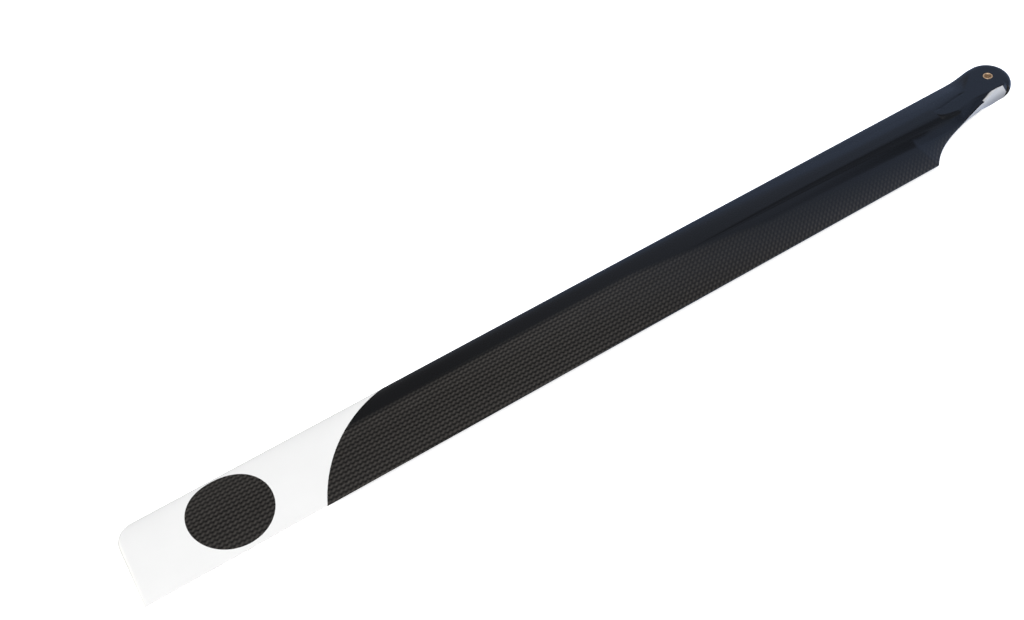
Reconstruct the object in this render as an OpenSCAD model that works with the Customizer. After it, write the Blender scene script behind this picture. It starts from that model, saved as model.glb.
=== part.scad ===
// Main rotor blade of a large model helicopter: one moulded composite blade with a bonded bolt bush.
// The origin is on the bolt axis at mid thickness, +X runs out to the tip, +Y to the trailing edge.

/* [Blade] */
// Distance from the bolt axis to the rear corner of the tip
blade_length = 690; // [560:1:760]
// Distance from the leading edge to the trailing edge
chord = 60; // [54:0.5:66]
// Greatest thickness of the blade section
section_thickness = 7.2; // [5.6:0.1:9]
// Distance from the leading edge back to the bolt axis
bolt_setback = 16; // [14:0.5:19]
// Thickness of the trailing edge
trailing_edge = 0.8; // [0.5:0.1:1.4]
// Height of the small flat that closes the leading edge
nose_land = 0.5; // [0.3:0.1:0.8]

/* [Root] */
// Thickness of the flat root that sits between the grip's cheeks
root_thickness = 14; // [11:0.5:16]
// Distance from the bolt axis to the root's fully rounded end and front
root_end = 17; // [15:0.5:20]
// Distance from the bolt axis back to the root's flat rear wall
rear_wall = 14; // [12:0.5:15.5]
// Distance from the bolt axis, towards the end, at which the flat rear wall stops at mid height
wall_stop = 6; // [4.5:0.5:8]
// Radius of the rear wall's top and bottom edges
root_edge_r = 1; // [0.6:0.1:2.5]
// Distance from the bolt axis to the corner where the cut-out meets the trailing edge
cutout_end = 87; // [77:1:100]
// Slope of the cut-out's edge as it leaves the root
cutout_flare = 0.26; // [0.15:0.01:0.32]
// Distance over which the cut-out's edge bends away from the root
cutout_lead = 18; // [10:1:30]

/* [Pad] */
// Distance from the bolt axis to the point of the flat pad
pad_tip = 57; // [50:1:66]
// Distance from the bolt axis at which the pad starts to narrow
pad_taper = 33; // [30:1:38]
// Depth of the crease between the pad and the rounded spar
crease_depth = 0.45; // [0.1:0.05:0.8]
// Width of that crease
crease_w = 2.2; // [1.2:0.1:3]

/* [Spar fairing] */
// Distance from the bolt axis at which the thick spar has faded into the section
fairing_end = 320; // [240:5:420]
// Distance behind the bolt axis of the fairing's rear line where it fades out
fairing_line = 8; // [7:0.5:12]
// How far the spar's rear edge lies below the pad
fairing_drop = 1.5; // [0.5:0.1:2.5]
// Width of the hollow between the spar and the thin rear panel
hollow_w = 12; // [8:0.5:16]
// Width of the ledge where the thin rear panel has grown out of the root's wall
ledge_w = 4; // [2.5:0.1:5.5]
// Half height that is left of the root's wall along the first part of the ledge, above the thin edge
rim_h = 2.4; // [1:0.1:3]

/* [Tip] */
// How far the tip's front lies inboard of its rear corner, along a straight edge
tip_rake = 5.5; // [2:0.5:10]
// Length along the span of the tip's rounded front corner
corner_length = 13; // [6:0.5:24]
// Width across the chord of that corner
corner_w = 14; // [6:0.5:20]
// Distance over which the tip's edge rounds down
tip_round = 2.5; // [1:0.1:5]

/* [Bolt bush] */
// Diameter of the grip bolt that passes through the bush
bolt_d = 5; // [3:0.5:6]
// Wall of the metal bush
bush_wall = 1.1; // [0.7:0.1:1.8]
// Radial gap for the adhesive round the bush
bush_gap = 0.03; // [0.02:0.01:0.08]

/* [Hidden] */

bush_r = bolt_d / 2 + bush_wall;
root_half = root_thickness / 2;
root_flat = root_end - root_half;
edge_half = trailing_edge / 2;
land_half = nose_land / 2;
trail_y = chord - bolt_setback;
crest_y = 0.3 * chord - bolt_setback;

// Stretches along the span, measured from the bolt axis
nose_start = 4;
nose_end = 28;
ledge_start = 5;
ledge_end = 30;
rim_start = 20;
rim_end = 46;
tilt_start = 8;
tilt_end = 24;
spar_turn = 42;
crease_start = 24;
crease_full = 32;
crease_fade = 7;

// Smaller proportions of the section and of the mesh
crest_slant = 2.6;
ledge_lift = 2;
shoulder_r = 2.5;
spar_edge_r = 1;
edge_tilt = 45;
hollow_power = 1.4;
spar_fade = 1.6;
cutout_power = 6;
least_strip = 0.6;
stop_step = 3;
stop_lean = 4;
bore_overrun = 1;

// Rows of the mesh along the blade; the tip's rows are shares of its rounding
end_angle = 6;
end_rows = 8;
stop_rows = 7;
root_pitch = 2;
taper_rows = 11;
cutout_rows = 10;
fairing_rows = 12;
fairing_spread = 1.3;
plain_rows = 3;
tip_run = 30;
tip_steps = [3, 1, 0.55, 0.25, 0.08, 0];

function mix(a, b, t) = a + (b - a) * t;
function part_of(x, a, b) = min(1, max(0, (x - a) / (b - a)));
function ease(x, a, b) = let (t = part_of(x, a, b)) t * t * (3 - 2 * t);

// Half thickness of the plain symmetric section, at a distance y behind the bolt axis
function foil(y) =
    let (u = min(1, max(0, (y + bolt_setback) / chord)))
    edge_half * u + 5 * section_thickness
        * (0.2969 * sqrt(u) - 0.126 * u - 0.3516 * pow(u, 2) + 0.2843 * pow(u, 3) - 0.1036 * pow(u, 4));

// How much of the thick root is left at a station: 1 up to the pad's point, 0 past the fairing
function root_share(x) = pow(1 - part_of(x, pad_tip, fairing_end), spar_fade);

// Lines that run along the blade, each a distance behind the bolt axis
function lead_line(x) = -mix(root_end, bolt_setback, ease(x, 0, nose_end - nose_start));
cutout_curl = trail_y - rear_wall - cutout_flare * pow(cutout_end, 2) / (cutout_end + cutout_lead);
function trail_line(x) =
    x >= cutout_end ? trail_y
    : rear_wall + cutout_flare * pow(x, 2) / (x + cutout_lead)
        + cutout_curl * pow(x / cutout_end, cutout_power);
function crest_line(x) =
    crest_y + crest_slant * ease(x, nose_end, pad_tip) * (1 - ease(x, pad_tip, fairing_end));
function front_line(x) = mix(-root_flat, crest_line(x), ease(x, nose_start, nose_end));
function near_edge(x) = trail_line(x) - ledge_w * ease(x, ledge_start, ledge_end);
function spar_edge(x) =
    x <= spar_turn ? near_edge(x)
    : mix(fairing_line, near_edge(spar_turn), pow(1 - part_of(x, spar_turn, fairing_end), 2));
function edge_r(x) =
    let (near = mix(root_edge_r, shoulder_r, ease(x, ledge_start, ledge_end)))
    mix(near, spar_edge_r, ease(x, pad_taper, pad_tip));
function shoulder(x) = spar_edge(x) - edge_r(x);
function pad_front(x) = front_line(x) + crease_w;
function pad_edge(x) =
    let (s = part_of(x, pad_taper, pad_tip))
    max(pad_front(x) + least_strip, mix(pad_front(x), shoulder(x) - least_strip, sqrt(1 - s * s)));
function foot_line(x) =
    let (ledge = trail_line(x) - spar_edge(x))
    spar_edge(x) + ledge * hollow_w / (ledge + hollow_w);

// Half thickness of the thick root's own form, which the fairing fades into the plain section.
// Its rear edge is a quarter circle on the wall and a flatter arc, down to the tilt, beside the ledge.
function crease(x, y) =
    let (along = ease(x, crease_start, crease_full) * (1 - ease(x, pad_tip - crease_fade, pad_tip)))
    let (across = 1 - min(1, abs(2 * (y - front_line(x)) / crease_w - 1)))
    crease_depth * along * across;
function spar_top(x, y) =
    let (back = part_of(y, pad_edge(x), shoulder(x)))
    let (over = max(0, y - shoulder(x)))
    let (r = edge_r(x) / sin(mix(90, edge_tilt, ease(x, tilt_start, tilt_end))))
    root_half - crease(x, y) - fairing_drop * ease(x, pad_taper, pad_tip) * back * back
        - (r - sqrt(max(0, r * r - over * over)));
function body_top(x, y) = mix(foil(y), spar_top(x, y), root_share(x));

// The nose is fully rounded at the root and turns into the section's own leading edge
function nose_top(x, t) =
    let (y = mix(lead_line(x), front_line(x), t))
    let (crest = body_top(x, front_line(x)))
    let (round_form = land_half + (crest - land_half) * sqrt(1 - pow(1 - t, 2)))
    let (thin = foil(y - lead_line(x) - bolt_setback))
    let (thick = crest / foil(front_line(x) - lead_line(x) - bolt_setback))
    let (foil_form = max(land_half, thin * mix(1, thick, ease(t, 0, 1))))
    mix(round_form, foil_form, ease(x, nose_start, nose_end));

// The thin rear panel keeps the section's wedge, moved in to the cut-out's edge and raised to its rim
function panel_top(x, y) = foil(y + trail_y - trail_line(x)) + rim_h * (1 - ease(x, rim_start, rim_end));
function foot_lift(x) = ledge_lift * (1 - ease(x, ledge_start, ledge_end));
function hollow_top(x, s) =
    let (y = mix(spar_edge(x), foot_line(x), s))
    let (low = panel_top(x, y) + foot_lift(x))
    low + (body_top(x, spar_edge(x)) - low) * pow(1 - s, hollow_power);
function rear_top(x, s) =
    panel_top(x, mix(foot_line(x), trail_line(x), s)) + foot_lift(x) * (1 - s);

// Points across the upper half of a section, as [y, half thickness]
nose_steps = 8;
crease_steps = 2;
pad_steps = 2;
slope_steps = 3;
edge_steps = 3;
hollow_steps = 4;
rear_steps = 5;
function strip(x, a, b, steps) =
    [for (i = [1 : steps]) let (y = mix(a, b, i / steps)) [y, body_top(x, y)]];
function upper(x) = concat(
    [for (i = [0 : nose_steps])
        let (t = 1 - cos(90 * i / nose_steps)) [mix(lead_line(x), front_line(x), t), nose_top(x, t)]],
    strip(x, front_line(x), pad_front(x), crease_steps),
    strip(x, pad_front(x), pad_edge(x), pad_steps),
    strip(x, pad_edge(x), shoulder(x), slope_steps),
    [for (i = [1 : edge_steps])
        let (y = shoulder(x) + edge_r(x) * sin(90 * i / edge_steps)) [y, body_top(x, y)]],
    [for (i = [1 : hollow_steps])
        let (s = i / hollow_steps) [mix(spar_edge(x), foot_line(x), s), hollow_top(x, s)]],
    [for (i = [1 : rear_steps])
        let (s = sin(90 * i / rear_steps)) [mix(foot_line(x), trail_line(x), s), rear_top(x, s)]]);

// The round end turns the nose about the bolt axis, as far as the step where the flat rear wall stops.
// The step leans: the wall stops sooner at its top and bottom than at mid height.
wall_points = slope_steps + edge_steps + hollow_steps + rear_steps;
function round_top(r) =
    let (t = part_of(r, root_flat, root_end))
    land_half + (root_half - land_half) * sqrt(1 - t * t);
function end_section(x) =
    let (base = upper(0))
    let (first = len(base) - wall_points - 1)
    [for (i = [0 : len(base) - 1])
        let (p = base[i])
        let (stop = wall_stop - stop_lean * pow(p[1] / root_half, 2))
        let (past = ease(-x, stop, stop + stop_step))
        let (down = max(0, i - first) / wall_points)
        let (across = mix(base[min(i, first)][0] / root_end, 1, sin(90 * down)))
        let (y = across * sqrt(pow(root_end, 2) - x * x))
        let (turned = p[0] < 0 ? 1 : past)
        [x, mix(p[0], y, turned), mix(p[1], round_top(norm([x, y])), turned)]];

// The tip's outline: a straight raked edge with a quarter ellipse at the front
function tip_x(y) =
    let (bend = part_of(corner_w - bolt_setback - y, 0, corner_w))
    blade_length - tip_rake * (trail_y - y) / chord - corner_length * (1 - sqrt(1 - bend * bend));
function tip_section(back, zone) =
    [for (p = upper(zone))
        let (d = min(1, back / tip_round))
        [tip_x(p[0]) - back, p[0], max(land_half, p[1] * sqrt(1 - pow(1 - d, 2)))]];
function plain_section(x) = [for (p = upper(x)) [x, p[0], p[1]]];

// Stations along the blade, close together where the root changes and far apart past the fairing
stop_x = wall_stop + stop_step;
tip_zone = blade_length - tip_rake - corner_length - tip_run;
end_stations = concat(
    [for (i = [0 : end_rows]) -mix(stop_x, root_end, cos(mix(end_angle, 90, i / end_rows)))],
    [for (i = [1 : stop_rows - 1]) -stop_x * (1 - i / stop_rows)]);
stations = concat(
    [for (x = [0 : root_pitch : pad_taper]) x],
    [for (i = [1 : taper_rows]) mix(pad_taper, pad_tip, sin(90 * i / taper_rows))],
    [for (i = [1 : cutout_rows]) mix(pad_tip, cutout_end, i / cutout_rows)],
    [for (i = [1 : fairing_rows]) mix(cutout_end, fairing_end, pow(i / fairing_rows, fairing_spread))],
    [for (i = [1 : plain_rows]) mix(fairing_end, tip_zone, i / plain_rows)]);
sections = concat(
    [for (x = end_stations) end_section(x)],
    [for (x = stations) plain_section(x)],
    [for (d = tip_steps) tip_section(d * tip_round, tip_zone)]);

// Closed skin through the sections: upper points, then lower points, section by section
module loft(rows) {
    across = len(rows[0]);
    count = len(rows);
    points = concat(
        [for (row = rows) for (p = row) p],
        [for (row = rows) for (p = row) [p[0], p[1], -p[2]]]);
    below = across * count;
    last = across - 1;
    outer = across * (count - 1);
    skin = [for (i = [0 : count - 2]) for (j = [0 : last - 1])
        let (a = i * across + j)
        let (b = a + across)
        let (c = below + a)
        let (d = below + b)
        each [[a, b + 1, b], [a, a + 1, b + 1], [c, d, d + 1], [c, d + 1, c + 1]]];
    sides = [for (i = [0 : count - 2])
        let (a = i * across)
        let (b = a + across)
        let (c = a + last)
        let (d = b + last)
        each [[a, below + b, below + a], [a, b, below + b],
              [c, below + d, d], [c, below + c, below + d]]];
    root_end = [for (j = [0 : last]) below + j];
    root_top = [for (j = [0 : last]) last - j];
    tip_end = [for (j = [0 : last - 1])
        let (a = outer + j)
        let (b = below + outer + j)
        each [[a, b + 1, b], [a, a + 1, b + 1]]];
    polyhedron(points, concat(skin, sides, [concat(root_end, root_top)], tip_end), convexity = 6);
}

module blade() {
    color([0.15, 0.16, 0.18])
    difference() {
        loft(sections);
        translate([0, 0, -root_half - bore_overrun])
        cylinder(h = root_thickness + 2 * bore_overrun, r = bush_r + bush_gap, $fn = 64);
    }
}

module bolt_bush() {
    color([0.72, 0.55, 0.35])
    translate([0, 0, -root_half])
    difference() {
        cylinder(h = root_thickness, r = bush_r, $fn = 64);
        translate([0, 0, -bore_overrun])
        cylinder(h = root_thickness + 2 * bore_overrun, r = bolt_d / 2, $fn = 64);
    }
}

blade();
bolt_bush();
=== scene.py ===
# %% [markdown]
# # A rotor blade, worked out as one surface
#
# This lesson dresses the main rotor blade of a large model helicopter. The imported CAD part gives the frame:
# the origin is on the bolt axis at half the root's thickness, +X runs out to the tip, +Y to the trailing
# edge and +Z up. Everything below stays in that frame. The blade's own form is a function of two
# parameters, so numpy works it out as one grid, and Blender only gives it a finish, a floor, light and a
# camera.

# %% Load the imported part
import math

import bpy
import numpy as np
from mathutils import Matrix, Vector


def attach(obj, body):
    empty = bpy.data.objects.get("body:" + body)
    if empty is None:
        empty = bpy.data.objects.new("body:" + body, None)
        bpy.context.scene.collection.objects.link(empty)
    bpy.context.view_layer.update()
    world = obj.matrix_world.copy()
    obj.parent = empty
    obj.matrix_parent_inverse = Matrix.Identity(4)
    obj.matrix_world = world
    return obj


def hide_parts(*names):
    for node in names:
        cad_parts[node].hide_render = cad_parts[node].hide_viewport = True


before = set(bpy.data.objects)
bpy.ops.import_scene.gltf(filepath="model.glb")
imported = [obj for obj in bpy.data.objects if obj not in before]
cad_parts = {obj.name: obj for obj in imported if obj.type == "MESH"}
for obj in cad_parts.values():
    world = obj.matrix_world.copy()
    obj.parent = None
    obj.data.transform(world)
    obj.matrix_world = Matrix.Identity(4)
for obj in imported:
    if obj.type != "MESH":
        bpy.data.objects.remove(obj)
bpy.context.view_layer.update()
MM = 0.001

# %% [markdown]
# ## The camera
#
# A photograph of straight edges tells where its camera stood. Here both edges of the blade, the round
# window near the tip and the bolt bush were enough to work it out. A camera is then three things: where it
# stands, the point that it aims at, and how far it is rolled about that line. The lens follows from how
# fast the edges run together.

# %% Camera
EYE = Vector((742.3, 634.0, 768.5)) * MM
AIM = Vector((395.9, -22.8, 0.0)) * MM
ROLL = math.radians(-7.37)
LENS_MM = 57.6
SENSOR_MM = 36.0


def place_camera(eye, aim, roll):
    """Builds a camera whose view line runs from eye to aim, turned by roll about that line."""
    ahead = (aim - eye).normalized()
    level = ahead.cross(Vector((0, 0, 1))).normalized()
    upright = level.cross(ahead)
    right = math.cos(roll) * level + math.sin(roll) * upright
    up = right.cross(ahead)
    data = bpy.data.cameras.new("camera")
    data.lens = LENS_MM
    data.sensor_width = SENSOR_MM
    data.sensor_fit = "HORIZONTAL"
    camera = bpy.data.objects.new("camera", data)
    turn = Matrix((right, up, -ahead)).transposed()
    camera.matrix_world = Matrix.Translation(eye) @ turn.to_4x4()
    bpy.context.collection.objects.link(camera)
    bpy.context.scene.camera = camera
    return camera


camera = place_camera(EYE, AIM, ROLL)
print("camera is", round((AIM - EYE).length, 3), "m from what it aims at")

# %% [markdown]
# ## Helpers for surfaces
#
# A surface is a grid of points: rows along the blade, columns across it. Numpy makes all the points at
# once, and the faces are index arithmetic on the same grid. `ease` is the smooth step that most of the
# blade's lines use to pass from one form to another.

# %% Steps and mixes
def ease(x, a, b):
    """Smooth step: 0 up to a, 1 from b on, and 3tt - 2ttt of the share t between them."""
    t = np.clip((x - a) / (b - a), 0, 1)
    return t * t * (3 - 2 * t)


def share(x, a, b):
    """How far x lies on the way from a to b, held between 0 and 1."""
    return np.clip((x - a) / (b - a), 0, 1)


def mix(a, b, t):
    """The value that lies the share t on the way from a to b."""
    return a + (b - a) * t


# %% Grids and meshes
def grid_faces(rows, columns, closed=False):
    """Quads of a grid, row by row; a closed grid joins its last column to its first."""
    i = np.arange(rows - 1)[:, None]
    j = np.arange(columns if closed else columns - 1)[None, :]
    k = (j + 1) % columns
    quads = np.stack([i * columns + j, (i + 1) * columns + j, (i + 1) * columns + k, i * columns + k], -1)
    return quads.reshape(-1, 4)


def make_piece(name, points_mm, faces, smooth=True):
    """Puts points in millimetres and quads into a mesh object that sits at the origin."""
    mesh = bpy.data.meshes.new(name)
    mesh.from_pydata((np.asarray(points_mm) * MM).tolist(), [], np.asarray(faces).tolist())
    mesh.polygons.foreach_set("use_smooth", np.full(len(mesh.polygons), smooth))
    mesh.update()
    piece = bpy.data.objects.new(name, mesh)
    bpy.context.collection.objects.link(piece)
    return piece


print("a quarter of the way, the smooth step has reached", ease(0.25, 0, 1))

# %% [markdown]
# ## The blade's lines
#
# A mould maker draws a blade by the lines that run along it, and only then fills in the sections between
# them. The leading edge and the trailing edge bound it. Between them lie the line where the nose ends, the
# point of the flat pad round the bolt, the rear edge of the thick spar, and the foot of the hollow beside
# it. Each line is a distance behind the bolt axis, in millimetres, as a function of the distance along the
# span.

# %% Sizes in millimetres
LENGTH, CHORD, SETBACK = 690.0, 60.0, 16.0
THICK, TRAIL_EDGE, LAND = 7.2, 0.8, 0.25
HALF, END, WALL, WALL_STOP, STOP_STEP, STOP_LEAN, EDGE_R = 7.0, 17.0, 14.0, 6.0, 3.0, 4.0, 1.0
CUT_END, CUT_FLARE, CUT_LEAD, CUT_POWER = 87.0, 0.26, 18.0, 6
PAD_TIP, PAD_TAPER, CREASE_DEPTH, CREASE_W = 57.0, 33.0, 0.45, 2.2
FAIR_END, FAIR_LINE, FAIR_DROP, HOLLOW_W, LEDGE_W = 320.0, 8.0, 1.5, 12.0, 4.0
NOSE_START, NOSE_END, LEDGE_START, LEDGE_END, SPAR_TURN = 4.0, 28.0, 5.0, 30.0, 42.0
CREASE_START, CREASE_FULL, CREASE_FADE = 24.0, 32.0, 7.0
RIM, RIM_START, RIM_END, HOLLOW_POWER = 2.4, 20.0, 46.0, 1.4
TILT_START, TILT_END, EDGE_TILT = 8.0, 24.0, 45.0
CREST_SLANT, LEDGE_LIFT, SPAR_EDGE_R, SHOULDER_R, SPAR_FADE = 2.6, 2.0, 1.0, 2.5, 1.6
TIP_RAKE, CORNER_L, CORNER_W, TIP_ROUND, TIP_RUN = 5.5, 13.0, 14.0, 2.5, 30.0
TRAIL_Y = CHORD - SETBACK
CREST_Y = 0.3 * CHORD - SETBACK
FLAT_R = END - HALF
print("the trailing edge is", TRAIL_Y, "mm behind the bolt axis, the section's crest", CREST_Y, "mm")


# %% The plain section and the outline
def foil(y):
    """Half thickness of the symmetric section: the four-digit polynomial, plus a wedge to the trailing edge."""
    u = np.clip((y + SETBACK) / CHORD, 0, 1)
    poly = 0.2969 * np.sqrt(u) - 0.126 * u - 0.3516 * u**2 + 0.2843 * u**3 - 0.1036 * u**4
    return TRAIL_EDGE / 2 * u + 5 * THICK * poly


def root_share(x):
    """How much of the thick root is left: 1 up to the pad's point, fading to 0 at the fairing's end."""
    return (1 - share(x, PAD_TIP, FAIR_END)) ** SPAR_FADE


def lead_line(x):
    """The leading edge: the rounded front of the root, easing into the section's nose."""
    return -mix(END, SETBACK, ease(x, 0, NOSE_END - NOSE_START))


def trail_line(x):
    """The rear wall, the curve of the cut-out that leaves it, and the straight trailing edge."""
    s = np.clip(x, 0, CUT_END)
    curl = TRAIL_Y - WALL - CUT_FLARE * CUT_END**2 / (CUT_END + CUT_LEAD)
    return WALL + CUT_FLARE * s**2 / (s + CUT_LEAD) + curl * (s / CUT_END) ** CUT_POWER


print("the root is", round(float(trail_line(0) - lead_line(0)), 1), "mm wide at the bolt")


# %% Lines between the edges
def front_line(x):
    """Where the nose ends and the top begins: the flat round the bolt, then the section's crest."""
    crest = CREST_Y + CREST_SLANT * ease(x, NOSE_END, PAD_TIP) * (1 - ease(x, PAD_TIP, FAIR_END))
    return mix(-FLAT_R, crest, ease(x, NOSE_START, NOSE_END))


def near_edge(x):
    """The spar's rear edge near the root: inside the outline by a ledge that grows along the span."""
    return trail_line(x) - LEDGE_W * ease(x, LEDGE_START, LEDGE_END)


def spar_edge(x):
    """The spar's rear edge: it follows the cut-out at first and then runs in towards the fairing's end."""
    far = mix(FAIR_LINE, near_edge(SPAR_TURN), (1 - share(x, SPAR_TURN, FAIR_END)) ** 2)
    return np.where(x <= SPAR_TURN, near_edge(x), far)


def edge_r(x):
    """Radius of the spar's rear edge: small on the root's wall, larger beside the pad, small past its point."""
    near = mix(EDGE_R, SHOULDER_R, ease(x, LEDGE_START, LEDGE_END))
    return mix(near, SPAR_EDGE_R, ease(x, PAD_TAPER, PAD_TIP))


def pad_edge(x):
    """The flat pad's rear edge: a quarter ellipse that closes on the pad's front line at its point."""
    s = share(x, PAD_TAPER, PAD_TIP)
    front = front_line(x) + CREASE_W
    return np.maximum(front + 0.6, mix(front, spar_edge(x) - edge_r(x) - 0.6, np.sqrt(1 - s * s)))


def foot_line(x):
    """The foot of the hollow: the ledge and the hollow's width, combined so that the narrower one rules."""
    ledge = trail_line(x) - spar_edge(x)
    return spar_edge(x) + ledge * HOLLOW_W / (ledge + HOLLOW_W)


print("at", CUT_END, "mm the spar's rear edge is at y =", round(float(spar_edge(CUT_END)), 1), "mm")

# %% [markdown]
# ## The section across the blade
#
# At each station the upper half is seven strips: the nose, the crease, the pad, the slope behind it, the
# rounded edge of the spar, the hollow and the thin rear panel. Each strip is a small formula of its own,
# and they share their end points, so the surface has no gaps. The lower half is the mirror image, because
# the section is symmetric.

# %% Heights of the root and the nose
def spar_top(x, y):
    """The thick root's own height: flat, less the crease, the slope behind the pad and the rounded edge."""
    along = ease(x, CREASE_START, CREASE_FULL) * (1 - ease(x, PAD_TIP - CREASE_FADE, PAD_TIP))
    across = 1 - np.minimum(1, np.abs(2 * (y - front_line(x)) / CREASE_W - 1))
    back = share(y, pad_edge(x), spar_edge(x) - edge_r(x))
    over = np.maximum(0, y - (spar_edge(x) - edge_r(x)))
    bow = edge_r(x) / np.sin(np.radians(mix(90, EDGE_TILT, ease(x, TILT_START, TILT_END))))
    rounding = bow - np.sqrt(np.maximum(0, bow**2 - over**2))
    groove = CREASE_DEPTH * along * ease(across, 0, 1)
    return HALF - groove - FAIR_DROP * ease(x, PAD_TAPER, PAD_TIP) * back**2 - rounding


def body_top(x, y):
    """The plain section, raised towards the thick root by the share of it that is left."""
    return mix(foil(y), spar_top(x, y), root_share(x))


def nose_top(x, t):
    """Height across the nose: a quarter ellipse at the root, turning into the section's own leading edge."""
    lead, front = lead_line(x), front_line(x)
    y = mix(lead, front, t)
    crest = body_top(x, front)
    round_form = LAND + (crest - LAND) * np.sqrt(1 - (1 - t) ** 2)
    thick = crest / foil(front - lead - SETBACK)
    foil_form = np.maximum(LAND, foil(y - lead - SETBACK) * mix(1, thick, ease(t, 0, 1)))
    return y, mix(round_form, foil_form, ease(x, NOSE_START, NOSE_END))


print("half thickness at the bolt:", round(float(body_top(0, 0)), 2), "mm, and beyond the spar:",
      round(float(body_top(FAIR_END, CREST_Y)), 2), "mm")


# %% Strips behind the nose
def strip(x, a, b, steps):
    """Points of a strip from line a to line b, on the body's own height."""
    y = mix(a, b, np.linspace(0, 1, steps + 1)[None, 1:])
    return y, body_top(x, y)


def rear_strips(x, hollow_steps, panel_steps):
    """The hollow falls as a parabola from the spar's edge to its foot; the panel keeps the section's wedge."""
    edge, foot, trail = spar_edge(x), foot_line(x), trail_line(x)
    rim = RIM * (1 - ease(x, RIM_START, RIM_END))
    lift = LEDGE_LIFT * (1 - ease(x, LEDGE_START, LEDGE_END))
    s = np.linspace(0, 1, hollow_steps + 1)[None, 1:]
    y1 = mix(edge, foot, s)
    low = foil(y1 + TRAIL_Y - trail) + rim + lift
    z1 = low + (body_top(x, edge) - low) * (1 - s) ** HOLLOW_POWER
    s = np.sin(np.linspace(0, np.pi / 2, panel_steps + 1))[None, 1:]
    y2 = mix(foot, trail, s)
    return (y1, z1), (y2, foil(y2 + TRAIL_Y - trail) + rim + lift * (1 - s))


# %% The whole upper half
NOSE_STEPS, CREASE_STEPS, PAD_STEPS, SLOPE_STEPS = 26, 8, 10, 10
EDGE_STEPS, HOLLOW_STEPS, PANEL_STEPS = 8, 14, 22
WALL_POINTS = SLOPE_STEPS + EDGE_STEPS + HOLLOW_STEPS + PANEL_STEPS


def upper_half(x):
    """All the strips of the upper half at the stations x (a column), as y and height arrays."""
    t = 1 - np.cos(np.linspace(0, np.pi / 2, NOSE_STEPS + 1))[None, :]
    front, shoulder = front_line(x), spar_edge(x) - edge_r(x)
    bow = np.sin(np.linspace(0, np.pi / 2, EDGE_STEPS + 1))[None, 1:]
    y_edge = shoulder + edge_r(x) * bow
    parts = [nose_top(x, t), strip(x, front, front + CREASE_W, CREASE_STEPS),
             strip(x, front + CREASE_W, pad_edge(x), PAD_STEPS), strip(x, pad_edge(x), shoulder, SLOPE_STEPS),
             (y_edge, body_top(x, y_edge)), *rear_strips(x, HOLLOW_STEPS, PANEL_STEPS)]
    return np.concatenate([p[0] for p in parts], 1), np.concatenate([p[1] for p in parts], 1)


print("points across the upper half:", upper_half(np.zeros((1, 1)))[0].size)

# %% [markdown]
# ## The root's end and the tip
#
# The end of the root is fully rounded: it is the nose turned about the bolt axis. The flat rear wall stops
# at a small step before that round end. At the other end the tip is a straight raked edge with a quarter
# ellipse at its front, and its own edge rounds down over a few millimetres.

# %% The root's end and the tip
def round_top(r):
    """Height of the rounded end at a distance r from the bolt axis: flat, then a quarter circle."""
    t = share(r, FLAT_R, END)
    return LAND + (HALF - LAND) * np.sqrt(1 - t * t)


def end_rows(x):
    """Sections of the root's end: the section at the bolt, carried onto the rounded end past the wall's stop."""
    y0, z0 = upper_half(np.zeros((1, 1)))
    first = y0.shape[1] - WALL_POINTS - 1
    index = np.arange(y0.shape[1])[None, :]
    down = np.maximum(0, index - first) / WALL_POINTS
    across = mix(y0[:, np.minimum(index[0], first)] / END, 1, np.sin(np.pi / 2 * down))
    y = across * np.sqrt(END**2 - x**2)
    stop = WALL_STOP - STOP_LEAN * (z0 / HALF) ** 2
    turned = np.where(y0 < 0, 1, ease(-x, stop, stop + STOP_STEP))
    return mix(y0, y, turned), mix(z0, round_top(np.hypot(x, y)), turned)


def tip_x(y):
    """The tip's outline: a raked line, drawn in by a quarter ellipse at the leading edge."""
    bend = share(CORNER_W - SETBACK - y, 0, CORNER_W)
    return LENGTH - TIP_RAKE * (TRAIL_Y - y) / CHORD - CORNER_L * (1 - np.sqrt(1 - bend * bend))


def tip_rows(back):
    """Sections of the tip: the plain section moved out to the tip's outline, rounding down to a thin edge."""
    zone = LENGTH - TIP_RAKE - CORNER_L - TIP_RUN
    y, z = upper_half(np.full((1, 1), zone))
    d = np.minimum(1, back / TIP_ROUND)
    return tip_x(y) - back, y + 0 * back, np.maximum(LAND, z * np.sqrt(1 - (1 - d) ** 2))


print("the tip's rake leaves", round(float(tip_x(CORNER_W - SETBACK)), 1), "mm where its front corner starts")


# %% Stations and points
def column(values):
    """A list of stations as a column, so that the strips spread across it."""
    return np.asarray(values, float)[:, None]


ROUND_ROWS, STOP_ROWS, ROOT_ROWS, PAD_ROWS, CUT_ROWS, SPAR_ROWS, PLAIN_ROWS = 22, 31, 34, 30, 32, 50, 30
FIRST_TURN, SPAR_SPREAD, TIP_REACH, TIP_ROWS, EDGE_ROWS = math.radians(4), 1.3, 8, 10, 12

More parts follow.
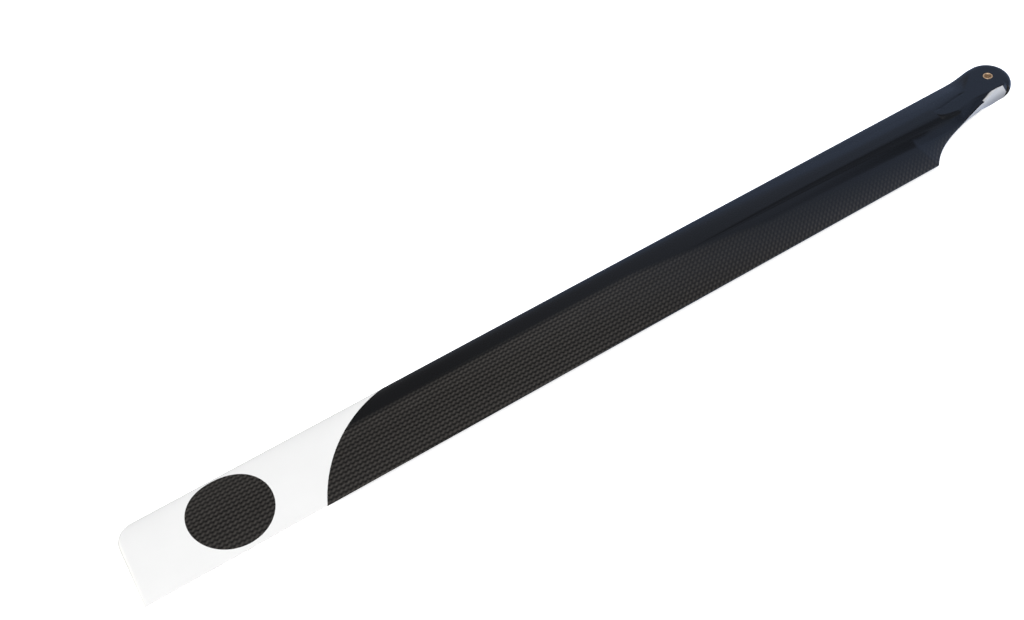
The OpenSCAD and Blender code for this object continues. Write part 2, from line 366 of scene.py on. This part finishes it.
stop = WALL_STOP + STOP_STEP
end_x = column(np.r_[-mix(stop, END, np.cos(np.linspace(FIRST_TURN, np.pi / 2, ROUND_ROWS))),
                     -stop * np.linspace(1, 0, STOP_ROWS)[1:-1]])
zone = LENGTH - TIP_RAKE - CORNER_L - TIP_RUN
root_x = np.linspace(0, PAD_TAPER, ROOT_ROWS)[:-1]
pad_x = mix(PAD_TAPER, PAD_TIP, np.sin(np.linspace(0, np.pi / 2, PAD_ROWS)))
cut_x = np.linspace(PAD_TIP, CUT_END, CUT_ROWS)[1:]
spar_x = mix(CUT_END, FAIR_END, np.linspace(0, 1, SPAR_ROWS)[1:] ** SPAR_SPREAD)
plain_x = np.linspace(FAIR_END, zone, PLAIN_ROWS)[1:]
body_x = column(np.r_[root_x, pad_x, cut_x, spar_x, plain_x])
edge_back = np.cos(np.linspace(0, np.pi / 2, EDGE_ROWS))[1:] ** 2
tip_back = column(TIP_ROUND * np.r_[np.linspace(TIP_REACH, 1, TIP_ROWS), edge_back])

y_end, z_end = end_rows(end_x)
y_body, z_body = upper_half(body_x)
x_tip, y_tip, z_tip = tip_rows(tip_back)
X = np.concatenate([end_x + 0 * y_end, body_x + 0 * y_body, x_tip])
Y = np.concatenate([y_end, y_body, y_tip])
Z = np.concatenate([z_end, z_body, z_tip])
print("blade grid:", X.shape[0], "rows of", X.shape[1], "points on each side")

# %% [markdown]
# ## One closed skin
#
# The upper points and their mirror image make one ring per station, and the rings make a tube. Two small
# caps close it at the root and at the tip.

# %% The blade's skin
def closed_skin(x, y, z):
    """Rings of upper points and mirrored lower points, with the quads of the tube and of its two caps."""
    rows, half = x.shape
    top = np.stack([x, y, z], -1)
    low = np.stack([x, y, -z], -1)[:, ::-1]
    ring = np.concatenate([top, low], 1)
    tube = grid_faces(rows, 2 * half, closed=True)[:, ::-1]
    j = np.arange(half - 1)
    cap = np.stack([j, j + 1, 2 * half - 2 - j, 2 * half - 1 - j], -1)
    return ring.reshape(-1, 3), np.concatenate([tube, cap, cap[:, ::-1] + (rows - 1) * 2 * half])


def surface_normals(x, y, z):
    """Unit normals of the upper grid, from the cross product of its two directions."""
    p = np.stack([x, y, z], -1)
    n = np.cross(np.gradient(p, axis=0), np.gradient(p, axis=1))
    return n / np.maximum(np.linalg.norm(n, axis=-1, keepdims=True), 1e-9)


def both_sides(upper, lower):
    """A value per upper point and per lower point, in the ring's order."""
    return np.concatenate([upper, lower[:, ::-1]], 1).reshape(-1)


points, faces = closed_skin(X, Y, Z)
blade = make_piece("blade_skin", points, faces)
print("blade skin:", len(points), "points,", len(faces), "quads")

# %% [markdown]
# ## What the finish needs to know
#
# Some looks follow the blade's form, so they are stored as numbers at the skin's own points. The cloth
# shows behind the hollow, faintly at the root and clearly further out; the nose and the spar are plain. The
# rear of the root has a pale wall. A point belongs to it when it lies
# on the rear outline and faces back. The wall above the edge and the strip below it are kept apart, because
# they end in different places.

# %% Cloth and wall
CLOTH_TURN, CLOTH_Y, CLOTH_BAND = 215.0, 2.0, 3.0
FAINT, CLEAR, CLEAR_POWER, CLEAR_START, CLEAR_END = 0.0, 0.85, 1.5, 120.0, 420.0
WINDOW_START, WINDOW_FULL = 575.0, 585.0
FACING, FACING_FULL, INSIDE, INSIDE_FULL = 0.45, 0.6, -1.2, -0.8

cloth_line = mix(np.where(X < FAIR_END, foot_line(X), 0), CLOTH_Y, share(X, CLOTH_TURN, FAIR_END))
back = share(Y, cloth_line, trail_line(X) + 1)
cloth = ease(Y, cloth_line - CLOTH_BAND, cloth_line + CLOTH_BAND)
cloth = cloth * mix(mix(FAINT, CLEAR, back**CLEAR_POWER), 1, ease(X, CLEAR_START, CLEAR_END))
cloth = np.maximum(cloth, ease(X, WINDOW_START, WINDOW_FULL))

normals = surface_normals(X, Y, Z)
wall = ease(normals[..., 1], FACING, FACING_FULL) * ease(Y - trail_line(X), INSIDE, INSIDE_FULL)
edge_only = np.zeros_like(X)
wall[:, -1] = edge_only[:, -1] = 1
for name, above, below in (("cloth", cloth, cloth), ("wall", wall, 0 * wall), ("edge_strip", edge_only, wall)):
    blade.data.attributes.new(name, "FLOAT", "POINT").data.foreach_set("value", both_sides(above, below))
print("points with cloth:", int((cloth > 0.5).sum()), "and on the wall:", int((wall > 0.5).sum()))

# %% [markdown]
# ## The bolt hole
#
# A round hole through a grid is easiest to cut afterwards. A cylinder a little wider than the bush goes
# through the root, and a Boolean takes it away. The modifier is applied at once, so that the finished mesh
# is plain.

# %% The bolt hole
BUSH_R, BORE_R, BUSH_GAP, SIDES = 3.6, 2.5, 0.03, 96


def revolve(profile, sides):
    """Turns a closed profile of radius and height about the bolt axis, as one closed grid."""
    a = np.linspace(0, 2 * np.pi, sides, endpoint=False)[:, None]
    r, h = profile[None, :, 0], profile[None, :, 1]
    p = np.stack([r * np.cos(a), r * np.sin(a), h + 0 * a], -1).reshape(-1, 3)
    n = len(profile)
    i, j = np.arange(sides)[:, None], np.arange(n)[None, :]
    k, m = (i + 1) % sides, (j + 1) % n
    return p, np.stack([i * n + j, k * n + j, k * n + m, i * n + m], -1).reshape(-1, 4)


def cut_hole(piece, radius, reach, sides):
    """Cuts a cylinder along the bolt axis out of a piece, with an exact Boolean that is applied at once."""
    a = np.linspace(0, 2 * np.pi, sides, endpoint=False)
    circle = np.stack([radius * np.cos(a), radius * np.sin(a)], -1)
    p = np.concatenate([np.c_[circle, np.full(sides, -reach)], np.c_[circle, np.full(sides, reach)]])
    i = np.arange(sides)
    wall = np.stack([i, (i + 1) % sides, (i + 1) % sides + sides, i + sides], -1).tolist()
    mesh = bpy.data.meshes.new("cutter")
    mesh.from_pydata((p * MM).tolist(), [], wall + [i[::-1].tolist(), (i + sides).tolist()])
    cutter = bpy.data.objects.new("cutter", mesh)
    bpy.context.collection.objects.link(cutter)
    hole = piece.modifiers.new("hole", "BOOLEAN")
    hole.operation, hole.solver, hole.object = "DIFFERENCE", "EXACT", cutter
    bpy.context.view_layer.update()
    done = bpy.data.meshes.new_from_object(piece.evaluated_get(bpy.context.evaluated_depsgraph_get()))
    piece.modifiers.clear()
    piece.data = done
    bpy.data.objects.remove(cutter)


cut_hole(blade, BUSH_R + BUSH_GAP, HALF + 2, SIDES)
blade.data.set_sharp_from_angle(angle=math.radians(38))
print("with its hole the skin has", len(blade.data.polygons), "faces")

# %% [markdown]
# ## The bush
#
# A turned metal sleeve lines the bolt hole. Its profile is drawn once, with a small chamfer at each corner,
# and turned about the bolt axis.

# %% The bush
CHAMFER = 0.3
profile = np.array([
    (BORE_R, -HALF + CHAMFER), (BORE_R + CHAMFER, -HALF), (BUSH_R - CHAMFER, -HALF), (BUSH_R, -HALF + CHAMFER),
    (BUSH_R, HALF - CHAMFER), (BUSH_R - CHAMFER, HALF), (BORE_R + CHAMFER, HALF), (BORE_R, HALF - CHAMFER)])
bush = make_piece("bush_sleeve", *revolve(profile, SIDES))
bush.data.set_sharp_from_angle(angle=math.radians(30))
print("bush:", len(bush.data.polygons), "faces")

# %% [markdown]
# ## Building finishes with nodes
#
# A procedural finish is arithmetic on the surface's own coordinates. These helpers keep it short: one makes
# a node and wires or sets its inputs, and the others do arithmetic, ramps and colours with it.

# %% Node helpers
def node(tree, kind, settings=None, **inputs):
    """Adds a node, sets its properties, and links or sets its inputs by name or by number."""
    made = tree.nodes.new(kind)
    for key, value in (settings or {}).items():
        setattr(made, key, value)
    for key, value in inputs.items():
        numbered = key[0] == "i" and key[1:].isdigit()
        socket = made.inputs[int(key[1:]) if numbered else key.replace("_", " ")]
        if isinstance(value, bpy.types.NodeSocket):
            tree.links.new(value, socket)
        else:
            socket.default_value = value
    return made


def calc(tree, operation, a, b=0.0, c=0.0):
    """One Math node: operation on a, b and c."""
    return node(tree, "ShaderNodeMath", {"operation": operation}, i0=a, i1=b, i2=c).outputs[0]


# %% Ramps, colours and materials
def smooth_between(tree, value, low, high, to_low=0.0, to_high=1.0):
    """A Map Range node with a smooth step from low to high."""
    return node(tree, "ShaderNodeMapRange", {"interpolation_type": "SMOOTHSTEP"},
                i0=value, i1=low, i2=high, i3=to_low, i4=to_high).outputs[0]


def blend_colour(tree, factor, a, b):
    """A colour that goes from a to b with the factor."""
    mixer = tree.nodes.new("ShaderNodeMix")
    mixer.data_type = "RGBA"
    for index, value in ((0, factor), (6, a), (7, b)):
        if isinstance(value, bpy.types.NodeSocket):
            tree.links.new(value, mixer.inputs[index])
        else:
            mixer.inputs[index].default_value = value
    return mixer.outputs[2]


def new_finish(name):
    """A material with its Principled shader and output, ready for its inputs."""
    material = bpy.data.materials.new(name)
    material.use_nodes = True
    tree = material.node_tree
    return material, tree, tree.nodes["Principled BSDF"]


# %% [markdown]
# ## Woven carbon
#
# The cloth under the coat is woven from flat tows of carbon fibre. From a little way off, the tows on top
# read as rows of short slanting dashes along the blade, about three millimetres apart. A pattern that
# repeats in two directions is a sum of waves, and four of them are enough here: one across the rows, one
# along them, and one on each diagonal, which makes the dashes lean. Near the root the rows fade and
# slanting lines are left, so each wave has one size there and one further out. Their height drives the
# tone, the roughness and the bump. Over the cloth lies a clear coat, which stays smooth, so the blade
# shines like glass and the weave shows below it.

# %% Weave nodes
PITCH_X, PITCH_Y, TWIST = 3.3 * MM, 3.05 * MM, math.radians(-1.2)
WAVES = ((0, 1, 0.06, 0.29, 0), (1, 0, 0.13, 0.10, 0), (-1, 1, 0.21, 0.16, 28), (1, 1, 0.01, 0.095, 180))
WAVE_ROOT, WAVE_OUT = 190 * MM, 400 * MM


def weave(tree, x, y):
    """Height of the cloth: a half, plus four cosine waves: across the rows, along them, on both diagonals."""
    c, s = math.cos(TWIST) * math.tau, math.sin(TWIST) * math.tau
    u = calc(tree, "MULTIPLY_ADD", x, c / PITCH_X, calc(tree, "MULTIPLY", y, s / PITCH_X))
    v = calc(tree, "MULTIPLY_ADD", y, c / PITCH_Y, calc(tree, "MULTIPLY", x, -s / PITCH_Y))
    height = 0.5
    for along, across, at_root, further_out, lead in WAVES:
        size = smooth_between(tree, x, WAVE_ROOT, WAVE_OUT, at_root, further_out)
        phase = calc(tree, "MULTIPLY_ADD", v, across, math.radians(lead))
        phase = calc(tree, "MULTIPLY_ADD", u, along, phase)
        height = calc(tree, "MULTIPLY_ADD", calc(tree, "COSINE", phase), size, height)
    return calc(tree, "MAXIMUM", height, 0.0), calc(tree, "LESS_THAN", height, 0.5)


def fibres(tree, place, scale):
    """Fine streaks: a noise that is stretched along one direction."""
    stretched = node(tree, "ShaderNodeMapping", i0=place, i3=scale).outputs[0]
    return node(tree, "ShaderNodeTexNoise", Vector=stretched, Scale=1.0, Detail=2.0).outputs[0]


print("the weave repeats every", round(PITCH_X / MM, 2), "by", round(PITCH_Y / MM, 2), "mm")

# %% [markdown]
# ## The pale wall
#
# The wall is a pale scratched grey, with painted shade that darkens it towards its lower edge. Slanting lines
# cut it off at both ends, and a thin rim of the moulding is left above it. These lines are worked out in the
# finish and not at the skin's points, so their edges stay sharp.

# %% The pale wall
WALL_MID, WALL_LEAN, WALL_SOFT = 4.6 * MM, 0.6, 0.15 * MM
WALL_TO, WALL_SLANT, STRIP_FADE, STRIP_TO = 15.5 * MM, 1.04, 40 * MM, 48 * MM
TOP_DROP, TOP_RUN = 0.6 * MM, 8 * MM


def attribute(tree, name):
    """One of the numbers that are stored at the skin's points."""
    return node(tree, "ShaderNodeAttribute", {"attribute_name": name}).outputs["Fac"]


def pale_wall_mask(tree, x, z):
    """1 on the wall above the edge and on the strip below it, each up to its own lines, and 0 elsewhere."""
    slant = calc(tree, "MULTIPLY_ADD", z, -WALL_LEAN, WALL_MID)
    flat = calc(tree, "MULTIPLY_ADD", calc(tree, "MULTIPLY", z, z), -STOP_LEAN / HALF**2 / MM, WALL_STOP * MM)
    inner = calc(tree, "ADD", x, calc(tree, "MINIMUM", slant, flat))
    outer = calc(tree, "MULTIPLY_ADD", z, -WALL_SLANT, x)
    top = smooth_between(tree, x, 0.0, TOP_RUN, HALF * MM - TOP_DROP, HALF * MM)
    below_top = smooth_between(tree, calc(tree, "SUBTRACT", top, z), -WALL_SOFT, WALL_SOFT)
    above = calc(tree, "MULTIPLY", attribute(tree, "wall"), below_top)
    before = smooth_between(tree, outer, WALL_TO - WALL_SOFT, WALL_TO + WALL_SOFT, 1.0, 0.0)
    above = calc(tree, "MULTIPLY", above, before)
    low = smooth_between(tree, x, STRIP_FADE, STRIP_TO, 1.0, 0.0)
    low = calc(tree, "MULTIPLY", attribute(tree, "edge_strip"), low)
    beside_end = smooth_between(tree, inner, -WALL_SOFT, WALL_SOFT)
    return calc(tree, "MULTIPLY", calc(tree, "MAXIMUM", above, low), beside_end)


print("at half height the bare wall is", round((WALL_TO + WALL_MID) / MM, 1), "mm long")

# %% [markdown]
# ## Paint
#
# The tip is white. The paint starts on a wide arc that touches the leading edge and sweeps back to the
# trailing edge, and a round window of bare carbon is left in it. Both are distances from a centre, so each
# is one Math node chain.

# %% The paint's mask
ARC_X, ARC_Y, ARC_R = 467.6 * MM, 95.5 * MM, 115.0 * MM
WINDOW_X, WINDOW_Y, WINDOW_R = 619.9 * MM, 13.9 * MM, 27.1 * MM
EDGE = 0.12 * MM


def distance(tree, x, y, cx, cy):
    """Distance in plan from a centre."""
    dx, dy = calc(tree, "SUBTRACT", x, cx), calc(tree, "SUBTRACT", y, cy)
    return calc(tree, "SQRT", calc(tree, "ADD", calc(tree, "MULTIPLY", dx, dx), calc(tree, "MULTIPLY", dy, dy)))


def paint_mask(tree, x, y):
    """1 beyond the arc and outside the window, 0 elsewhere."""
    outside = smooth_between(tree, distance(tree, x, y, ARC_X, ARC_Y), ARC_R - EDGE, ARC_R + EDGE)
    beyond = calc(tree, "GREATER_THAN", x, ARC_X)
    window = smooth_between(tree, distance(tree, x, y, WINDOW_X, WINDOW_Y), WINDOW_R - EDGE, WINDOW_R + EDGE)
    return calc(tree, "MULTIPLY", calc(tree, "MULTIPLY", outside, beyond), window)


print("the window is", round(2 * WINDOW_R / MM, 1), "mm across")

# %% Colours of the carbon, the paint and the wall
CLOTH_DARK, CLOTH_LIGHT = (0.0022, 0.002, 0.0018, 1), (0.056, 0.051, 0.046, 1)
PLAIN_DARK, PLAIN_LIGHT = (0.001, 0.0012, 0.0016, 1), (0.0026, 0.003, 0.004, 1)
WHITE_DARK, WHITE_LIGHT = (0.808, 0.80, 0.778, 1), (0.858, 0.85, 0.827, 1)
# The wall's last colour is painted shade: the darker grey that the wall turns to towards its lower edge.
PALE_WALL_DARK, PALE_WALL_LIGHT, PAINTED_SHADE_GREY = (0.54, 0.53, 0.51, 1), (0.69, 0.68, 0.66, 1), (0.29, 0.285, 0.275, 1)
LENGTHWISE, CROSSWISE, SCRATCHES = (60.0, 4200.0, 4200.0), (4200.0, 60.0, 60.0), (900.0, 40.0, 6000.0)
CONTRAST, CLOUD_SCALE, WALL_SHADE_SPAN = 1.35, 35.0, 5 * MM


def carbon_colour(tree, place, cloth_part, height, turn):
    """Woven cloth where it shows and plain carbon elsewhere, both with fine streaks of fibre."""
    lengthwise, crosswise = fibres(tree, place, LENGTHWISE), fibres(tree, place, CROSSWISE)
    streak = calc(tree, "MULTIPLY_ADD", calc(tree, "SUBTRACT", crosswise, lengthwise), turn, lengthwise)
    streak = smooth_between(tree, streak, 0.3, 0.7, 0.75, 1.15)
    tone = calc(tree, "MULTIPLY", calc(tree, "POWER", height, CONTRAST), streak)
    cloth_tone = blend_colour(tree, tone, CLOTH_DARK, CLOTH_LIGHT)
    plain_tone = blend_colour(tree, lengthwise, PLAIN_DARK, PLAIN_LIGHT)
    return blend_colour(tree, cloth_part, plain_tone, cloth_tone)


def white_colour(tree, place):
    """White paint with a faint cloud in it."""
    cloud = node(tree, "ShaderNodeTexNoise", Vector=place, Scale=CLOUD_SCALE, Detail=3.0).outputs[0]
    return blend_colour(tree, cloud, WHITE_DARK, WHITE_LIGHT)


def wall_colour(tree, place, z):
    """The wall's pale scratched grey, with painted shade making it darker towards its lower edge."""
    pale = blend_colour(tree, fibres(tree, place, SCRATCHES), PALE_WALL_DARK, PALE_WALL_LIGHT)
    # Painted shade: the colour turns to a darker grey towards the wall's lower edge.
    return blend_colour(tree, smooth_between(tree, z, -WALL_SHADE_SPAN, WALL_SHADE_SPAN), PAINTED_SHADE_GREY, pale)


# %% The blade's finish
ROUGH_LOW, ROUGH_HIGH, ROUGH_PAINT, WALL_METAL = 0.5, 0.36, 0.3, 0.3
SHOWS_THROUGH, PAINT_STEP, RELIEF, RELIEF_DEPTH = 0.06, 0.25, 0.5, 0.2 * MM
COAT, COAT_ROUGH, COAT_IOR, UNDERCOAT_SHINE = 1.0, 0.03, 1.5, 0.1


def blade_finish():
    """Clear-coated carbon with a white tip; the cloth and the pale wall follow the skin's own numbers."""
    material, tree, shader = new_finish("carbon_and_paint")
    place = node(tree, "ShaderNodeTexCoord").outputs["Object"]
    x, y, z = node(tree, "ShaderNodeSeparateXYZ", i0=place).outputs
    cloth_part, wall_part, paint = attribute(tree, "cloth"), pale_wall_mask(tree, x, z), paint_mask(tree, x, y)
    height, turn = weave(tree, x, y)
    carbon = carbon_colour(tree, place, cloth_part, height, turn)
    painted = blend_colour(tree, paint, carbon, white_colour(tree, place))
    colour = blend_colour(tree, wall_part, painted, wall_colour(tree, place, z))
    tree.links.new(colour, shader.inputs["Base Color"])
    tree.links.new(calc(tree, "MULTIPLY", wall_part, WALL_METAL), shader.inputs["Metallic"])
    cloth_height = calc(tree, "MULTIPLY", height, cloth_part)
    rough = smooth_between(tree, cloth_height, 0.0, 1.0, ROUGH_LOW, ROUGH_HIGH)
    rough = calc(tree, "MULTIPLY_ADD", calc(tree, "SUBTRACT", ROUGH_PAINT, rough), paint, rough)
    tree.links.new(rough, shader.inputs["Roughness"])
    relief = calc(tree, "MULTIPLY", cloth_height, smooth_between(tree, paint, 0, 1, 1.0, SHOWS_THROUGH))
    relief = calc(tree, "MULTIPLY_ADD", paint, PAINT_STEP, relief)
    bump = node(tree, "ShaderNodeBump", Strength=RELIEF, Distance=RELIEF_DEPTH, Height=relief)
    tree.links.new(bump.outputs[0], shader.inputs["Normal"])
    shader.inputs["Coat Weight"].default_value = COAT
    shader.inputs["Coat Roughness"].default_value = COAT_ROUGH
    shader.inputs["Coat IOR"].default_value = COAT_IOR
    shader.inputs["Specular IOR Level"].default_value = UNDERCOAT_SHINE
    return material


blade.data.materials.append(blade_finish())
print("blade finish:", len(blade.data.materials[0].node_tree.nodes), "nodes")

# %% [markdown]
# ## Turned metal
#
# The bush is turned from a warm, copper-coloured alloy that has gone dull. A lathe leaves fine rings on its
# faces, so the bump is a wave of the distance from the bolt axis, and a faint noise makes the polish
# uneven.

# %% The bush's finish
RING_PITCH, RING_DEPTH, RING_RELIEF, BUSH_METAL = 0.12 * MM, 0.02 * MM, 0.25, 0.4
BUSH_DARK, BUSH_LIGHT = (0.46, 0.31, 0.19, 1), (0.60, 0.42, 0.27, 1)


def bush_finish():
    """Dull warm metal with lathe rings and uneven polish."""
    material, tree, shader = new_finish("turned_metal")
    place = node(tree, "ShaderNodeTexCoord").outputs["Object"]
    x, y, _ = node(tree, "ShaderNodeSeparateXYZ", i0=place).outputs
    radius = distance(tree, x, y, 0.0, 0.0)
    rings = calc(tree, "SINE", calc(tree, "MULTIPLY", radius, math.tau / RING_PITCH))
    dull = node(tree, "ShaderNodeTexNoise", Vector=place, Scale=900.0, Detail=3.0).outputs[0]
    colour = blend_colour(tree, dull, BUSH_DARK, BUSH_LIGHT)
    tree.links.new(colour, shader.inputs["Base Color"])
    tree.links.new(smooth_between(tree, dull, 0.3, 0.7, 0.22, 0.38), shader.inputs["Roughness"])
    bump = node(tree, "ShaderNodeBump", Strength=RING_RELIEF, Distance=RING_DEPTH, Height=rings)
    tree.links.new(bump.outputs[0], shader.inputs["Normal"])
    shader.inputs["Metallic"].default_value = BUSH_METAL
    return material


bush.data.materials.append(bush_finish())
print("bush finish:", len(bush.data.materials[0].node_tree.nodes), "nodes")

# %% [markdown]
# ## Floor and light
#
# The blade lies on a plain white floor. The floor glows a little, so that it stays white, and reflections
# don't show it, because the picture is a cut-out with nothing round it. The clear coat is a mirror, so what
# it reflects matters more than what falls on it. The world's light goes by the height of its direction:
# bright at the horizon, dim where the top looks, and bright again overhead. Towards the root's side it
# grows stronger and bluer. A soft sun adds the light that the white tip needs.

# %% Floor
FLOOR_Z = -HALF - 0.05
FLOOR_HALF = 40000.0
FLOOR_POINTS, FLOOR_GLOW = 9, 0.8


def make_floor():
    """A flat grid under the blade, with a faint unevenness of tone."""
    t = np.linspace(-FLOOR_HALF, FLOOR_HALF, FLOOR_POINTS)
    gx, gy = np.meshgrid(t, t, indexing="ij")
    p = np.stack([gx, gy, np.full_like(gx, FLOOR_Z)], -1).reshape(-1, 3)
    floor = make_piece("floor", p, grid_faces(FLOOR_POINTS, FLOOR_POINTS))
    material, tree, shader = new_finish("white_floor")
    place = node(tree, "ShaderNodeTexCoord").outputs["Object"]
    cloud = node(tree, "ShaderNodeTexNoise", Vector=place, Scale=3.0, Detail=2.0).outputs[0]
    white = blend_colour(tree, cloud, (0.88, 0.88, 0.88, 1), (0.9, 0.9, 0.9, 1))
    tree.links.new(white, shader.inputs["Base Color"])
    shader.inputs["Roughness"].default_value = 0.7
    shader.inputs["Emission Color"].default_value = (1.0, 1.0, 1.0, 1.0)
    shader.inputs["Emission Strength"].default_value = FLOOR_GLOW
    floor.data.materials.append(material)
    return floor


floor = make_floor()
floor.visible_glossy = False
print("floor:", round(2 * FLOOR_HALF * MM), "m wide")

# %% World
SKY = ((0.0, 0.20), (0.3, 0.19), (0.45, 0.14), (0.6, 0.115), (0.7, 0.115),
       (0.79, 0.10), (0.835, 0.03), (0.9, 0.06), (1.0, 0.35))
LOW_SIDE, HIGH_SIDE, SIDE_FROM, SIDE_TO = (-0.2, -0.4), (-0.27, -0.58), 0.3, 0.55
LOW_GAIN, HIGH_GAIN, GAIN_FROM, GAIN_TO = 1.35, 3.2, 0.27, 0.6
UNDER_GAIN, UNDER_FROM, UNDER_TO = 1.6, -0.1, -0.5
WARM, COOL = (1.02, 1.0, 0.96, 1), (0.78, 1.0, 1.5, 1)


def line(tree, value, low, high, to_low, to_high):
    """A Map Range node with a straight run from low to high, held at both ends."""
    return node(tree, "ShaderNodeMapRange", i0=value, i1=low, i2=high, i3=to_low, i4=to_high).outputs[0]


def make_world(steps):
    """A world lit by the height of the direction, growing bluer and stronger to the root's side."""
    world = bpy.data.worlds.new("studio")
    world.use_nodes = True
    tree = world.node_tree
    way = node(tree, "ShaderNodeTexCoord").outputs["Generated"]
    axes = node(tree, "ShaderNodeSeparateXYZ", i0=way).outputs
    ramp = node(tree, "ShaderNodeValToRGB", i0=axes[2])
    stops = ramp.color_ramp.elements
    while len(stops) < len(steps):
        stops.new(0.5)
    for mark, (height, light) in zip(stops, steps):
        mark.position = height
        mark.color = (light, light, light, 1)
    first, last = (line(tree, axes[2], SIDE_FROM, SIDE_TO, low, high) for low, high in zip(LOW_SIDE, HIGH_SIDE))
    side = line(tree, axes[0], first, last, 0.0, 1.0)
    most = line(tree, axes[2], GAIN_FROM, GAIN_TO, LOW_GAIN - 1, HIGH_GAIN - 1)
    under = line(tree, axes[2], UNDER_FROM, UNDER_TO, 0.0, UNDER_GAIN)
    gain = calc(tree, "MULTIPLY_ADD", side, calc(tree, "ADD", most, under), 1.0)
    sky = tree.nodes["Background"]
    tree.links.new(blend_colour(tree, side, WARM, COOL), sky.inputs["Color"])
    tree.links.new(calc(tree, "MULTIPLY", ramp.outputs[0], gain), sky.inputs["Strength"])
    bpy.context.scene.world = world


make_world(SKY)
print("world:", len(SKY), "steps of brightness")


# %% Sun
SUN_TOWARD, SUN_ENERGY, SUN_SPREAD = (0.3, 0.2, 0.93), 3.34, 50


def make_sun(toward, energy, spread):
    """A soft sun that shines from the direction toward."""
    data = bpy.data.lights.new("key", "SUN")
    data.energy, data.angle = energy, math.radians(spread)
    sun = bpy.data.objects.new("key", data)
    sun.rotation_mode = "QUATERNION"
    sun.rotation_quaternion = Vector(toward).to_track_quat("Z", "Y")
    bpy.context.collection.objects.link(sun)


make_sun(SUN_TOWARD, SUN_ENERGY, SUN_SPREAD)
bpy.context.scene.view_settings.view_transform = "Standard"
print("the sun's disc is", SUN_SPREAD, "degrees wide")

# %% [markdown]
# ## Joining the frame
#
# The two pieces stand for the two CAD nodes. The part has no joint, so both ride on its one body.

# %% Ride and replace
for piece, cad_node, slot in ((blade, "blade", "carbon"), (bush, "bolt_bush", "brass")):
    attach(piece, "root")
    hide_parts(cad_node)
